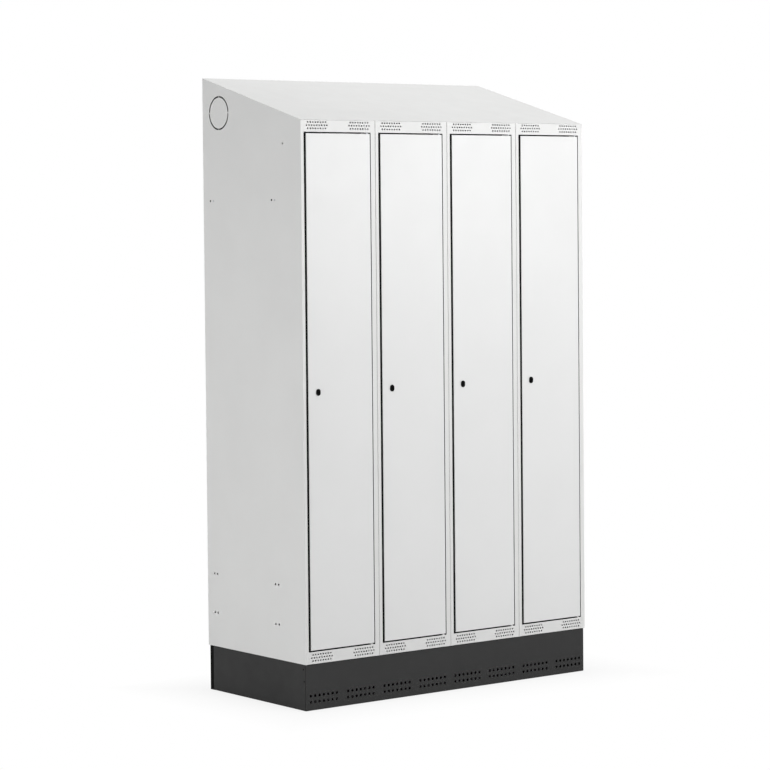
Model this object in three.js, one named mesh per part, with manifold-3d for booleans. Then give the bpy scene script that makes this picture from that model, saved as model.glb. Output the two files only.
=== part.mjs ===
// A four-section clothes locker of folded sheet steel, with a sloping roof, on a perforated plinth.
// Millimetres, +Z up. The origin is on the floor in the middle of the footprint, and the doors face -Y.
import * as THREE from "three";
import { mergeGeometries, mergeVertices } from "three/addons/utils/BufferGeometryUtils.js";
import Module from "manifold-3d";

const wasm = await Module();
wasm.setup();

// Overall sizes
const sections = 4;
const overallWidth = 1200;
const overallDepth = 550;
const plinthHeight = 150;
const frontHeight = 1890;
const roofRise = 155;

// Sheet thicknesses, and the gaps that pieces keep to each other
const sheet = 0.8;
const plinthSheet = 1.2;
const seam = 0.6;
const fit = 0.15;
const runningFit = 0.1;
const overrun = 4;

// Corners are rounded to this grid, which 32-bit numbers hold exactly, so that flush faces stay flush
const grid = 1 / 1024;

// Front frame of a section: two stiles and two rails, folded back into a rebate for the door
const railHeight = 40;
const lockStile = 13;
const hingeStile = 18.5;
const stopLip = 14;
const hingeLip = 12;
const railStop = 12;
const stopGap = 1;
const swingGap = 2.7;

// Door: a folded tray, a flat liner behind it and a dark strip along the lock edge
const doorDepth = 16;
const doorGap = 3;
const doorLip = 12;
const linerInset = 2;
const stripWidth = 6.5;
const stripGap = 2;
const stripRecess = 1.2;
const stripWall = 1.5;

// Hinge pins, one above and one below each door
const pivotInset = 6;
const pivotToEdge = 8.75;
const edgeGap = 0.64;
const pinRadius = 3;
const collarRadius = 4.5;
const headRadius = 5;
const headHeight = 2;
const pinReach = 6;
const pinSides = 6;

// Cam lock
const lockBackset = 38.5;
const lockWidth = 16.8;
const lockHeight = 22;
const lockHead = 3;
const barrelRadius = 7;
const nutRadius = 11;
const nutHeight = 3;
const plugRadius = 4.5;
const plugRecess = 0.4;
const keySlotWidth = 1.2;
const keySlotHeight = 6.5;
const keySlotDepth = 2.5;
const camReach = 36;
const camWidth = 14;
const camPlate = 2;
const boltRadius = 5;
const boltHeight = 3;
const lockSides = 8;
const lockSteps = 3;

// Vent holes in the rails: two groups a rail, each of staggered rows
const ventRadius = 2.9;
const ventPitch = 10.1;
const ventRowPitch = 10;
const ventColumns = 9;
const ventEdge = 24.375;
const topVentLift = 2;
const ventSides = 3;

// Plinth: folded panels set in from the body, with two groups of larger holes under each section,
// and dark corner profiles at the rear
const plinthFrontInset = 5.5;
const plinthSideInset = 3;
const plinthBackInset = 5;
const plinthFlange = 25;
const plinthHoleRadius = 4.7;
const plinthPitch = 17.4;
const plinthRowPitch = 20;
const plinthHoleLow = 27;
const plinthColumns = 7;
const plinthRows = 2;
const plinthHoleSides = 4;
const cornerFace = 20;
const cornerWall = 1.2;

// Inside of a section
const floorFlange = 12;
const shelfHeight = 1647;
const shelfSetback = 40;
const shelfFlange = 22;
const shelfReturn = 10;
const clothesRailRadius = 8;
const clothesRailDrop = 62;
const railCupRadius = 14;
const railCupDepth = 2;
const railSides = 8;
const hooks = 3;
const hookDrop = 28;
const hookBend = 9;
const hookTip = 8;
const hookWidth = 3;
const hookWire = 3.5;
const hookSteps = 3;

// Holes in the outer side walls: pairs at the shelf and at two spare levels, and one near the top
const fixingRadius = 3.8;
const fixingPitch = 17.5;
const frontFixing = 152.5;
const rearFixing = 50;
const spareLevel = 114;
const spareStep = 129.5;
const topHoleInset = 97;
const topHoleDrop = 73.5;
const fixingSides = 4;

// Knock-out disc for a vent duct, held in the side wall by four uncut bridges
const knockoutRadius = 55;
const knockoutSlit = 4.4;
const knockoutBridge = 9;
const knockoutRear = 95.2;
const knockoutDrop = 90;
const knockoutSteps = 4;

// Roof
const roofFlange = 14;
const roofFlangeSetback = 30;

// Places that follow from the sizes above, in a section's own frame: x from its left edge,
// y back from the frame's front face and z up from the floor
const sectionPitch = (overallWidth + seam) / sections;
const bodyWidth = sectionPitch - seam;
const rearHeight = frontHeight + roofRise;
const openingLow = plinthHeight + railHeight;
const openingHigh = frontHeight - railHeight;
const hingeGap = Math.hypot(pivotToEdge, pivotInset) - pivotToEdge + edgeGap;
const doorLeft = lockStile + stripGap + stripWidth;
const doorRight = bodyWidth - hingeStile - hingeGap;
const doorLow = openingLow + doorGap;
const doorHigh = openingHigh - doorGap;
const pivotX = doorRight - pivotToEdge;
const cornerSwing = Math.hypot(pivotToEdge, doorDepth - pivotInset);
const lockRebate = doorDepth + stopGap;
const hingeRebate = pivotInset + cornerSwing + swingGap;
const trayDepth = doorDepth - sheet - fit;
const lockX = doorLeft + lockBackset;
const lockZ = (doorLow + doorHigh) / 2;
const barrelEnd = doorDepth + fit + nutHeight;
const camFront = barrelEnd + fit;
const ventSpread = bodyWidth / 2 - ventEdge - ((ventColumns - 1) * ventPitch) / 2;
const roofSlope = roofRise / overallDepth;
const roofStretch = Math.hypot(1, roofSlope);
const roofTop = (y) => frontHeight + roofSlope * y;
const roofUnder = (y) => roofTop(y) - (sheet + fit) * roofStretch;

const finish = {
  body: { color: 0xd8dad9, roughness: 0.5, metalness: 0.1 },
  door: { color: 0xdfe1e0, roughness: 0.45, metalness: 0.1 },
  plinth: { color: 0x3a3b3c, roughness: 0.6, metalness: 0.1 },
  black: { color: 0x151515, roughness: 0.5, metalness: 0 },
  zinc: { color: 0xb9bdc1, roughness: 0.35, metalness: 0.9 },
};

// A closed three.js geometry as a solid that can be joined and cut.
function solidOf(geometry) {
  const bare = geometry.index ? geometry.toNonIndexed() : geometry.clone();
  bare.deleteAttribute("normal");
  bare.deleteAttribute("uv");
  const position = bare.getAttribute("position");
  position.array.forEach((value, i) => {
    position.array[i] = Math.round(value / grid) * grid;
  });
  const merged = mergeVertices(bare);
  const corners = merged.index.array;
  const kept = [];
  for (let i = 0; i < corners.length; i += 3) {
    const [a, b, c] = corners.slice(i, i + 3);
    if (a !== b && b !== c && c !== a) kept.push(a, b, c);
  }
  return new wasm.Manifold(
    new wasm.Mesh({
      numProp: 3,
      vertProperties: merged.attributes.position.array,
      triVerts: new Uint32Array(kept),
    }),
  );
}

// A solid's surface as a flat-shaded three.js geometry.
function geometryOf(solid) {
  const { numProp, vertProperties, triVerts } = solid.getMesh();
  const position = new Float32Array((vertProperties.length / numProp) * 3);
  for (let i = 0; i < position.length / 3; i += 1) {
    position.set(vertProperties.subarray(i * numProp, i * numProp + 3), i * 3);
  }
  const geometry = new THREE.BufferGeometry();
  geometry.setAttribute("position", new THREE.BufferAttribute(position, 3));
  geometry.setIndex(new THREE.BufferAttribute(new Uint32Array(triVerts), 1));
  const flat = geometry.toNonIndexed();
  flat.computeVertexNormals();
  return flat;
}

const join = (...solids) => solids.reduce((a, b) => a.add(b));

// An outline of [u, v] pairs, extruded from w = from to w = to, as a geometry in its own u, v, w frame.
function extruded(outline, from, to) {
  const shape = new THREE.Shape(outline.map(([u, v]) => new THREE.Vector2(u, v)));
  const geometry = new THREE.ExtrudeGeometry(shape, { depth: to - from, bevelEnabled: false });
  return geometry.translate(0, 0, from);
}

const axisX = new THREE.Vector3(1, 0, 0);
const axisY = new THREE.Vector3(0, 1, 0);
const axisZ = new THREE.Vector3(0, 0, 1);
const turned = (geometry, u, v, w) => geometry.applyMatrix4(new THREE.Matrix4().makeBasis(u, v, w));

// Prisms along each axis. Their outlines are pairs of (y, z), (z, x) and (x, y).
const alongX = (outline, from, to) => turned(extruded(outline, from, to), axisY, axisZ, axisX);
const alongY = (outline, from, to) => turned(extruded(outline, from, to), axisZ, axisX, axisY);
const alongZ = (outline, from, to) => extruded(outline, from, to);

// A box between two corners.
function block([x0, y0, z0], [x1, y1, z1]) {
  const box = new THREE.BoxGeometry(x1 - x0, y1 - y0, z1 - z0);
  return solidOf(box.translate((x0 + x1) / 2, (y0 + y1) / 2, (z0 + z1) / 2));
}

// The closed outline of a sheet bent along a path, on its right-hand side, or its left with side -1.
function bentSheet(path, thickness, side = 1) {
  const points = path.map(([u, v]) => new THREE.Vector2(u, v));
  const normals = points.slice(1).map((point, i) => {
    const way = point.clone().sub(points[i]).normalize();
    return new THREE.Vector2(way.y, -way.x).multiplyScalar(side);
  });
  const inner = points.map((point, i) => {
    const before = normals[Math.max(i - 1, 0)];
    const after = normals[Math.min(i, normals.length - 1)];
    const mitre = before.clone().add(after).divideScalar(1 + before.dot(after));
    return point.clone().addScaledVector(mitre, thickness);
  });
  return [...points, ...inner.reverse()].map(({ x, y }) => [x, y]);
}

// A regular outline round (u, v) with a vertex or a side at its foot.
function polygon(u, v, radius, sides, turn = 0) {
  return Array.from({ length: sides }, (_, i) => {
    const angle = turn + (i * 2 * Math.PI) / sides;
    return [u + radius * Math.cos(angle), v + radius * Math.sin(angle)];
  });
}

// The corner radius of a faceted hole with the open area of a round one.
const openRadius = (radius, sides) =>
  radius * Math.sqrt((2 * Math.PI) / sides / Math.sin((2 * Math.PI) / sides));

// The corner radius of a faceted hole whose flat sides clear a round shaft.
const clearRadius = (radius, sides) => radius / Math.cos(Math.PI / sides);

// An upright slot-shaped outline of (z, x) pairs, with round ends.
function obround(z, x, height, width) {
  const radius = width / 2;
  const reach = height / 2 - radius;
  const ends = [1, -1].map((end) =>
    Array.from({ length: lockSteps + 1 }, (_, i) => {
      const angle = (end > 0 ? -Math.PI / 2 : Math.PI / 2) + (i * Math.PI) / lockSteps;
      return [z + end * reach + radius * Math.cos(angle), x + radius * Math.sin(angle)];
    }),
  );
  return ends.flat();
}

// A sector of a thin ring round (u, v), between two angles.
function ringSector(u, v, radius, width, start, end, steps) {
  const arc = (r) =>
    Array.from({ length: steps + 1 }, (_, i) => {
      const angle = start + ((end - start) * i) / steps;
      return [u + r * Math.cos(angle), v + r * Math.sin(angle)];
    });
  return [...arc(radius + width / 2), ...arc(radius - width / 2).reverse()];
}

// Everything above the roof's underside, to trim what stands under it.
const aboveRoof = () => {
  const ends = [-overrun, overallDepth + overrun];
  const outline = [
    ...ends.map((y) => [y, roofUnder(y)]),
    ...ends.map((y) => [y, roofTop(overallDepth + overrun)]).reverse(),
  ];
  return solidOf(alongX(outline, -overrun, bodyWidth + overrun));
};

// The holes of an outer side wall, as one cutting solid between x = from and x = to.
function wallCutter(from, to) {
  const spare = plinthHeight + spareLevel;
  const levels = [shelfHeight - shelfFlange / 2, spare, spare + spareStep];
  const pairs = levels.flatMap((z) =>
    [frontFixing, overallDepth - rearFixing].flatMap((y) =>
      [-1, 1].map((end) => [y + (end * fixingPitch) / 2, z]),
    ),
  );
  const places = [...pairs, [topHoleInset, frontHeight - topHoleDrop]];
  const corner = openRadius(fixingRadius, fixingSides);
  const drilled = places.map(([y, z]) => alongX(polygon(y, z, corner, fixingSides), from, to));

  const discY = overallDepth - knockoutRear;
  const discZ = roofTop(discY) - knockoutDrop;
  const halfBridge = knockoutBridge / 2 / knockoutRadius;
  const slits = [0, 1, 2, 3].map((quarter) => {
    const start = (quarter * Math.PI) / 2 + halfBridge;
    const end = ((quarter + 1) * Math.PI) / 2 - halfBridge;
    return alongX(
      ringSector(discY, discZ, knockoutRadius, knockoutSlit, start, end, knockoutSteps),
      from,
      to,
    );
  });
  return solidOf(mergeGeometries([...drilled, ...slits]));
}

// Both side walls, the back and the stiles of a section, folded from one sheet.
function sectionBody(isFirst, isLast) {
  const plan = bentSheet(
    [
      [lockStile + stopLip, lockRebate],
      [lockStile, lockRebate],
      [lockStile, 0],
      [0, 0],
      [0, overallDepth],
      [bodyWidth, overallDepth],
      [bodyWidth, 0],
      [bodyWidth - hingeStile, 0],
      [bodyWidth - hingeStile, hingeRebate],
      [bodyWidth - hingeStile - hingeLip, hingeRebate],
    ],
    sheet,
  );
  let body = solidOf(alongZ(plan, plinthHeight, rearHeight)).subtract(aboveRoof());
  if (isFirst) body = body.subtract(wallCutter(-overrun, sheet + overrun));
  if (isLast) body = body.subtract(wallCutter(bodyWidth - sheet - overrun, bodyWidth + overrun));
  return body;
}

// Staggered vent holes through a rail's face, round a height.
function ventCutter(z) {
  const corner = openRadius(ventRadius, ventSides);
  const holes = [];
  for (const group of [-1, 1]) {
    for (const row of [-1, 0, 1]) {
      const count = ventColumns - Math.abs(row);
      for (let i = 0; i < count; i += 1) {
        const x = bodyWidth / 2 + group * ventSpread + (i - (count - 1) / 2) * ventPitch;
        const outline = polygon(z + row * ventRowPitch, x, corner, ventSides);
        holes.push(alongY(outline, -overrun, sheet + overrun));
      }
    }
  }
  return solidOf(mergeGeometries(holes));
}

// A rail between the stiles: its face, the flange that the hinge pin passes and the door's stop.
// inner is the height of its edge at the door, outer that of its far edge.
function rail(inner, outer, ventHeight) {
  const way = Math.sign(outer - inner);
  const left = lockStile + fit;
  const right = bodyWidth - hingeStile - fit;
  const profile = bentSheet(
    [
      [lockRebate - stopGap, outer],
      [0, outer],
      [0, inner],
      [lockRebate, inner],
      [lockRebate, inner - way * railStop],
    ],
    sheet,
    -way,
  );
  const low = Math.min(inner, outer) - railStop - overrun;
  const high = Math.max(inner, outer) + railStop + overrun;
  const stopLeft = lockStile + stopLip + fit;
  const stopRight = pivotX - cornerSwing - swingGap;
  const behind = lockRebate - fit;
  const deep = lockRebate + sheet + overrun;
  const pinHole = polygon(pivotX, pivotInset, clearRadius(pinRadius + runningFit, pinSides), pinSides);
  return solidOf(alongX(profile, left, right))
    .subtract(block([left - overrun, behind, low], [stopLeft, deep, high]))
    .subtract(block([stopRight, behind, low], [right + overrun, deep, high]))
    .subtract(solidOf(alongZ(pinHole, inner - sheet - overrun, inner + sheet + overrun)))
    .subtract(ventCutter(ventHeight));
}

const topRail = () => {
  const high = roofUnder(0);
  return rail(openingHigh, high, openingHigh + railHeight / 2 + topVentLift);
};
const bottomRail = () => rail(openingLow, plinthHeight, plinthHeight + railHeight / 2);

// A section's floor, with edges turned up along the side walls and the back.
function floorPanel() {
  const left = sheet + fit;
  const right = bodyWidth - sheet - fit;
  const front = hingeRebate + sheet + fit;
  const back = overallDepth - sheet - fit;
  const top = plinthHeight + floorFlange;
  return block([left, front, plinthHeight], [right, back, top]).subtract(
    block(
      [left + sheet, front - overrun, plinthHeight + sheet],
      [right - sheet, back - sheet, top + overrun],
    ),
  );
}

// A hat shelf: a tray upside down, with its four edges turned down and returned.
function hatShelf() {
  const left = sheet + fit;
  const right = bodyWidth - sheet - fit;
  const back = overallDepth - sheet - fit;
  const low = shelfHeight - shelfFlange;
  return block([left, shelfSetback, low], [right, back, shelfHeight])
    .subtract(
      block(
        [left + sheet, shelfSetback + sheet, low + sheet],
        [right - sheet, back - sheet, shelfHeight - sheet],
      ),
    )
    .subtract(
      block(
        [left + shelfReturn, shelfSetback + shelfReturn, low - overrun],
        [right - shelfReturn, back - shelfReturn, low + shelfFlange / 2],
      ),
    );
}

// A round profile of (radius, height) pairs turned about +Z.
function turnedOnZ(profile, sides) {
  const points = profile.map(([radius, height]) => new THREE.Vector2(radius, height));
  return new THREE.LatheGeometry(points, sides).rotateX(Math.PI / 2);
}

// The rail for hangers under the shelf: a bar between two wall cups, with coat hooks.
function clothesRail() {
  const left = sheet + fit;
  const right = bodyWidth - sheet - fit;
  const y = overallDepth / 2;
  const z = shelfHeight - clothesRailDrop;
  const profile = [
    [0, left],
    [railCupRadius, left],
    [railCupRadius, left + railCupDepth],
    [clothesRailRadius, left + railCupDepth],
    [clothesRailRadius, right - railCupDepth],
    [railCupRadius, right - railCupDepth],
    [railCupRadius, right],
    [0, right],
  ];
  const bar = turned(turnedOnZ(profile, railSides), axisY, axisZ, axisX).translate(0, y, z);
  const bend = Array.from({ length: hookSteps + 1 }, (_, i) => {
    const angle = (-i * Math.PI) / hookSteps;
    return [hookBend * (Math.cos(angle) - 1), hookBend * Math.sin(angle) - hookDrop];
  });
  const path = [[0, -clothesRailRadius / 2], ...bend, [-2 * hookBend, hookTip - hookDrop]];
  const hook = bentSheet(path.map(([u, v]) => [y + u, z + v]), hookWire, -1);
  const placed = Array.from({ length: hooks }, (_, i) => {
    const x = left + ((i + 1) * (right - left)) / (hooks + 1);
    return solidOf(alongX(hook, x - hookWidth / 2, x + hookWidth / 2));
  });
  return join(solidOf(bar), ...placed);
}

// A sloping roof over all sections, with edges turned down inside the outer walls and the backs.
function roof() {
  const thick = sheet * roofStretch;
  const cover = solidOf(
    alongX(
      [
        [0, roofTop(0) - thick],
        [overallDepth, roofTop(overallDepth) - thick],
        [overallDepth, roofTop(overallDepth)],
        [0, roofTop(0)],
      ],
      0,
      overallWidth,
    ),
  );
  const front = hingeRebate + roofFlangeSetback;
  const back = overallDepth - sheet - fit;
  const low = (y) => roofTop(y) - roofFlange;
  const edge = [front, back - roofFlange];
  const outline = [
    ...edge.map((y) => [y, low(y)]),
    ...edge.map((y) => [y, roofTop(y) - thick / 2]).reverse(),
  ];
  const outerLeft = sheet + fit;
  const outerRight = overallWidth - sheet - fit;
  const edges = [
    [outerLeft, outerLeft + sheet],
    [outerRight - sheet, outerRight],
  ].map(([from, to]) => solidOf(alongX(outline, from, to)));
  const rears = Array.from({ length: sections }, (_, i) => {
    const x = i * sectionPitch;
    return block(
      [x + roofFlange, back - sheet, low(back)],
      [x + bodyWidth - roofFlange, back, roofTop(back - sheet) - thick / 2],
    );
  });
  return join(cover, ...edges, ...rears);
}

// Outline of a plinth panel: its face and the flanges turned in from it.
const plinthProfile = (face, inwards, side) =>
  bentSheet(
    [
      [face + inwards * plinthFlange, 0],
      [face, 0],
      [face, plinthHeight - fit],
      [face + inwards * plinthFlange, plinthHeight - fit],
    ],
    plinthSheet,
    side,
  );

const plinthLeft = plinthSideInset;
const plinthRight = overallWidth - plinthSideInset;

// A plinth panel across the locker, between insets from the plinth's ends for its face and flanges.
function plinthLong(face, inwards, faceInset, flangeInset) {
  const inner = face + inwards * plinthSheet;
  const far = face + inwards * (plinthFlange + overrun);
  const left = plinthLeft + faceInset;
  const right = plinthRight - faceInset;
  const notch = (from, to) =>
    block([from, Math.min(inner, far), -overrun], [to, Math.max(inner, far), plinthHeight + overrun]);
  return solidOf(alongX(plinthProfile(face, inwards, inwards), left, right))
    .subtract(notch(left - overrun, plinthLeft + flangeInset))
    .subtract(notch(plinthRight - flangeInset, right + overrun));
}

// The plinth's front, perforated in two rows under each half section.
function plinthFront() {
  const corner = openRadius(plinthHoleRadius, plinthHoleSides);
  const holes = [];
  for (let group = 0; group < 2 * sections; group += 1) {
    const centre = ((group + 0.5) * overallWidth) / (2 * sections);
    for (let row = 0; row < plinthRows; row += 1) {
      for (let i = 0; i < plinthColumns; i += 1) {
        const x = centre + (i - (plinthColumns - 1) / 2) * plinthPitch;
        const outline = polygon(plinthHoleLow + row * plinthRowPitch, x, corner, plinthHoleSides);
        holes.push(alongY(outline, plinthFrontInset - overrun, plinthFrontInset + plinthSheet + overrun));
      }
    }
  }
  return plinthLong(plinthFrontInset, 1, 0, plinthSheet + fit)
    .subtract(solidOf(mergeGeometries(holes)));
}

const plinthRear = overallDepth - plinthBackInset;
const plinthBack = () => plinthLong(plinthRear, -1, cornerFace + fit, plinthFlange + fit);

// A plinth end from the front panel to the corner profile, with flanges that stop short of theirs.
function plinthSide(face, inwards) {
  const front = plinthFrontInset + plinthSheet + fit;
  const back = plinthRear - cornerFace - fit;
  const profile = plinthProfile(face, inwards, inwards).map(([x, z]) => [z, x]);
  const clear = plinthFlange + fit;
  const inner = face + inwards * plinthSheet;
  const far = face + inwards * (plinthFlange + overrun);
  const notch = (from, to) =>
    block(
      [Math.min(inner, far), from, -overrun],
      [Math.max(inner, far), to, plinthHeight + overrun],
    );
  return solidOf(alongY(profile, front, back))
    .subtract(notch(front - overrun, plinthFrontInset + clear))
    .subtract(notch(plinthRear - clear, back + overrun));
}

// A rear corner of the plinth: an angle flush with the panels, with a tongue behind each.
function plinthCorner(face, inwards) {
  const seat = plinthSheet + fit;
  const deep = seat + cornerWall;
  const reach = plinthFlange - fit;
  const half = [
    [0, 0],
    [0, cornerFace],
    [seat, cornerFace],
    [seat, reach],
    [deep, reach],
  ];
  const mirrored = half.slice(1).map(([u, v]) => [v, u]);
  const outline = [...half, [deep, deep], ...mirrored.reverse()];
  return solidOf(
    alongZ(
      outline.map(([u, v]) => [face + inwards * u, plinthRear - v]),
      0,
      plinthHeight - fit,
    ),
  );
}

// The door's tray, with edges returned round its open back and holes for the pins and the lock.
function doorPanel() {
  const hollow = block(
    [doorLeft + sheet, sheet, doorLow + sheet],
    [doorRight - sheet, trayDepth - sheet, doorHigh - sheet],
  );
  const mouth = block(
    [doorLeft + doorLip, trayDepth / 2, doorLow + doorLip],
    [doorRight - doorLip, trayDepth + overrun, doorHigh - doorLip],
  );
  const pinHole = polygon(pivotX, pivotInset, clearRadius(pinRadius + runningFit, pinSides), pinSides);
  const barrelHole = polygon(lockZ, lockX, clearRadius(barrelRadius + fit, lockSides), lockSides);
  return block([doorLeft, 0, doorLow], [doorRight, trayDepth, doorHigh])
    .subtract(hollow)
    .subtract(mouth)
    .subtract(solidOf(alongZ(pinHole, doorLow - overrun, doorHigh + overrun)))
    .subtract(solidOf(alongY(barrelHole, -overrun, sheet + overrun)));
}

// The flat liner that closes the door's back.
function doorLiner() {
  const barrelHole = polygon(lockZ, lockX, clearRadius(barrelRadius + fit, lockSides), lockSides);
  return block(
    [doorLeft + linerInset, doorDepth - sheet, doorLow + linerInset],
    [doorRight - linerInset, doorDepth, doorHigh - linerInset],
  ).subtract(solidOf(alongY(barrelHole, doorDepth - sheet - overrun, doorDepth + overrun)));
}

// A channel-shaped strip along the door's lock edge, set back from its face.
function doorEdgeStrip() {
  const seat = doorLeft - fit;
  const plan = bentSheet(
    [
      [seat, stripRecess],
      [doorLeft - stripWidth, stripRecess],
      [doorLeft - stripWidth, trayDepth],
      [seat, trayDepth],
    ],
    stripWall,
  );
  return solidOf(alongZ(plan, doorLow, doorHigh));
}

// A hinge pin held in a flange whose upper face is at a height. A collar carries what turns on it.
function hingePin(height, hasCollar) {
  const collar = [
    [pinRadius, height + fit],
    [collarRadius, height + fit],
    [collarRadius, height + doorGap - fit],
    [pinRadius, height + doorGap - fit],
  ];
  const profile = [
    [0, height - sheet - fit - headHeight],
    [headRadius, height - sheet - fit - headHeight],
    [headRadius, height - sheet - fit],
    [pinRadius, height - sheet - fit],
    ...(hasCollar ? collar : []),
    [pinRadius, height + doorGap + sheet + pinReach],
    [0, height + doorGap + sheet + pinReach],
  ];
  return solidOf(turnedOnZ(profile, pinSides).translate(pivotX, pivotInset, 0));
}

// The lock's fixed part: an oval head, a barrel through the door and the nut that holds it.
function lockBody() {
  const head = solidOf(alongY(obround(lockZ, lockX, lockHeight, lockWidth), -lockHead, -fit));
  const barrel = alongY(polygon(lockZ, lockX, barrelRadius, lockSides), -lockHead / 2, barrelEnd);
  const nut = alongY(polygon(lockZ, lockX, nutRadius, 6), doorDepth + fit, barrelEnd);
  const bore = polygon(lockZ, lockX, clearRadius(plugRadius + runningFit, lockSides), lockSides);
  return join(head, solidOf(barrel), solidOf(nut))
    .subtract(solidOf(alongY(bore, -lockHead - overrun, barrelEnd + overrun)));
}

// The lock's turning part: the keyed plug, the cam that hangs from it and the bolt that holds it.
function lockCam() {
  const front = plugRecess - lockHead;
  const plug = alongY(polygon(lockZ, lockX, plugRadius, lockSides), front, camFront + camPlate / 2);
  const outline = obround(lockZ - camReach / 2, lockX, camReach + camWidth, camWidth);
  const cam = alongY(outline, camFront, camFront + camPlate);
  const bolt = alongY(polygon(lockZ, lockX, boltRadius, 6), camFront, camFront + camPlate + boltHeight);
  const keySlot = block(
    [lockX - keySlotWidth / 2, front - overrun, lockZ - keySlotHeight / 2],
    [lockX + keySlotWidth / 2, front + keySlotDepth, lockZ + keySlotHeight / 2],
  );
  return join(solidOf(plug), solidOf(cam), solidOf(bolt)).subtract(keySlot);
}

// Adds a named mesh to a group.
function place(group, name, solid, look) {
  const mesh = new THREE.Mesh(geometryOf(solid), new THREE.MeshStandardMaterial(finish[look]));
  mesh.name = name;
  group.add(mesh);
}

const locker = new THREE.Group();
locker.position.set(-overallWidth / 2, (lockHead - overallDepth) / 2, 0);

for (let i = 0; i < sections; i += 1) {
  const section = new THREE.Group();
  section.position.x = i * sectionPitch;
  const number = i + 1;
  place(section, `section_body_${number}`, sectionBody(i === 0, number === sections), "body");
  place(section, `top_rail_${number}`, topRail(), "body");
  place(section, `bottom_rail_${number}`, bottomRail(), "body");
  place(section, `floor_panel_${number}`, floorPanel(), "body");
  place(section, `hat_shelf_${number}`, hatShelf(), "body");
  place(section, `clothes_rail_${number}`, clothesRail(), "zinc");
  place(section, `door_panel_${number}`, doorPanel(), "door");
  place(section, `door_liner_${number}`, doorLiner(), "door");
  place(section, `door_edge_strip_${number}`, doorEdgeStrip(), "black");
  place(section, `hinge_pin_bottom_${number}`, hingePin(openingLow, true), "zinc");
  place(section, `hinge_pin_top_${number}`, hingePin(doorHigh, false), "zinc");
  place(section, `lock_body_${number}`, lockBody(), "black");
  place(section, `lock_cam_${number}`, lockCam(), "zinc");
  locker.add(section);
}

place(locker, "roof", roof(), "body");
place(locker, "plinth_front", plinthFront(), "plinth");
place(locker, "plinth_back", plinthBack(), "plinth");
place(locker, "plinth_left", plinthSide(plinthLeft, 1), "plinth");
place(locker, "plinth_right", plinthSide(plinthRight, -1), "plinth");
place(locker, "plinth_corner_left", plinthCorner(plinthLeft, 1), "black");
place(locker, "plinth_corner_right", plinthCorner(plinthRight, -1), "black");

export default locker;
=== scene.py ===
"""Looks for a four-section clothes locker of powder-coated sheet steel.

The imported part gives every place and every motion. This script puts finely made sheet metal, locks,
hinge pins and fittings round it, coats them, and sets up the studio and the camera. Sizes are in
millimetres in a section's own frame, as on a workshop drawing: x from the section's left edge, y back
from the frame's front face, z up. The studio's are in metres.
"""

import logging
import math
from dataclasses import dataclass, field
from enum import Enum
from functools import cached_property
from typing import Callable, Iterable, Mapping, Sequence

import bmesh
import bpy
from mathutils import Matrix, Vector
from mathutils.geometry import tessellate_polygon


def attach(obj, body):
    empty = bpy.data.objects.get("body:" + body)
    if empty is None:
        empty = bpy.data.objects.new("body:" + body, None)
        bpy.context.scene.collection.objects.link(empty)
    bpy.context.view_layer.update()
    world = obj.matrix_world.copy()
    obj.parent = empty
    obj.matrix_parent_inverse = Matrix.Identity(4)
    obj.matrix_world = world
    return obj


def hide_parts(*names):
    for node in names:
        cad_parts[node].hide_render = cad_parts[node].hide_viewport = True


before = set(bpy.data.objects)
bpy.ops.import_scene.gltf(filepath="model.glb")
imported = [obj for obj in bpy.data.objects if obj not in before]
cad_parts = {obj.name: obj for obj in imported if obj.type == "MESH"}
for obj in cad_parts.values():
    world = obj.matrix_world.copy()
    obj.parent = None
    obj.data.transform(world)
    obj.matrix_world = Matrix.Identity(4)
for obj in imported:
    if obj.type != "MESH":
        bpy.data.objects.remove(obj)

LOG = logging.getLogger("locker")
MM = 0.001
TINY = 1e-6
CARCASS = "carcass"
Flat = tuple[float, float]
Line = Sequence[Flat]
Triple = tuple[float, float, float]
Ring = list[Vector]
Socket = bpy.types.NodeSocket
Span = tuple[float, float | Callable[[float, float], float]]


@dataclass(frozen=True)
class Drawing:
    """The driving sizes, which every sub-assembly works from."""

    width: float = 1200.0
    depth: float = 550.0
    sections: int = 4
    joint: float = 0.6
    plinth: float = 150.0
    front_height: float = 1890.0
    roof_rise: float = 155.0
    rail_height: float = 40.0
    sheet: float = 0.8
    fit: float = 0.15
    door: float = 16.0
    lock_head: float = 3.0
    lock_barrel: float = 7.0

    @property
    def section(self) -> float:
        """The width of one section."""
        return (self.width - (self.sections - 1) * self.joint) / self.sections


PART = Drawing()


class Slot(Enum):
    """The material slots."""

    BODY = "body_enamel"
    DOOR = "door_enamel"
    PLINTH = "plinth_enamel"
    STRIP = "edge_strip"
    LOCK = "lock_black"
    ZINC = "zinc_plate"


class Run(Enum):
    """The way that an outline is run out: upwards, across the locker or back into it."""

    UP = "up"
    ACROSS = "across"
    BACK = "back"

    def place(self, u: float, v: float, w: float) -> Triple:
        """Returns the x, y and z of outline point (u, v) at distance w along the run.

        Args:
            u: The outline's first coordinate.
            v: The outline's second coordinate.
            w: The distance along the run.

        Returns:
            The point in the section's frame.
        """
        if self is Run.UP:
            return (u, v, w)
        if self is Run.ACROSS:
            return (w, u, v)
        return (u, w, v)


def tuned(thing: object, **settings: object) -> object:
    """Sets properties of a Blender thing.

    Args:
        thing: The thing.
        **settings: Its properties by name.

    Returns:
        The same thing.
    """
    for key, value in settings.items():
        setattr(thing, key, value)
    return thing


def stood(name: str, data: bpy.types.ID) -> bpy.types.Object:
    """Puts a new object into the scene.

    Args:
        name: Its name.
        data: Its mesh, lamp or camera.

    Returns:
        The object.
    """
    thing = bpy.data.objects.new(name, data)
    bpy.context.scene.collection.objects.link(thing)
    return thing


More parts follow.
